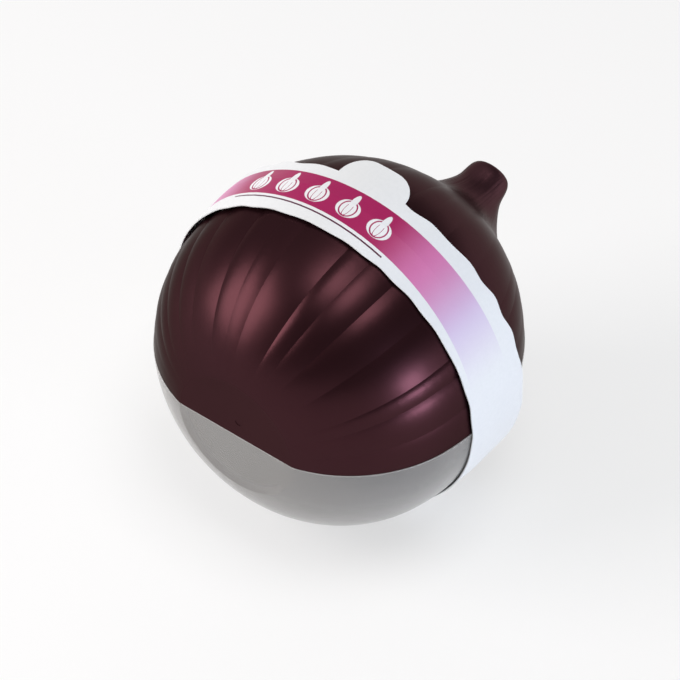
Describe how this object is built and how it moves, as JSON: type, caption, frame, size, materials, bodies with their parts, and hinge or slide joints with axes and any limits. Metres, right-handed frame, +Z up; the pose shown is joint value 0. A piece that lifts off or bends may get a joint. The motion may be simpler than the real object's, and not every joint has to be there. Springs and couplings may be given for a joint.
{
  "type": "onion keeper",
  "caption": "Onion-shaped keeper lying on its side: pleated lid with a bent stem on a smooth clear bowl, held shut by a printed paper sleeve round its girth.",
  "frame": {"origin": "on the face it rests on, under the middle of the onion's girth", "axes": "+X along the onion's axis toward the stem, +Z up"},
  "size_m": [0.1295, 0.1118, 0.1089],
  "materials": {
    "lid_plastic": "satin, faintly pearly",
    "base_plastic": "clear smoke grey, smooth",
    "sleeve_paper": "coated paper"
  },
  "bodies": {
    "keeper": {"base": "base_plastic", "lid": "lid_plastic"},
    "sleeve": {"sleeve": "sleeve_paper"}
  },
  "joints": [
    {"name": "sleeve_slide", "type": "slide", "parent": "keeper", "child": "sleeve", "axis": [-1, 0, 0], "range_m": [0, 0.085]}
  ]
}
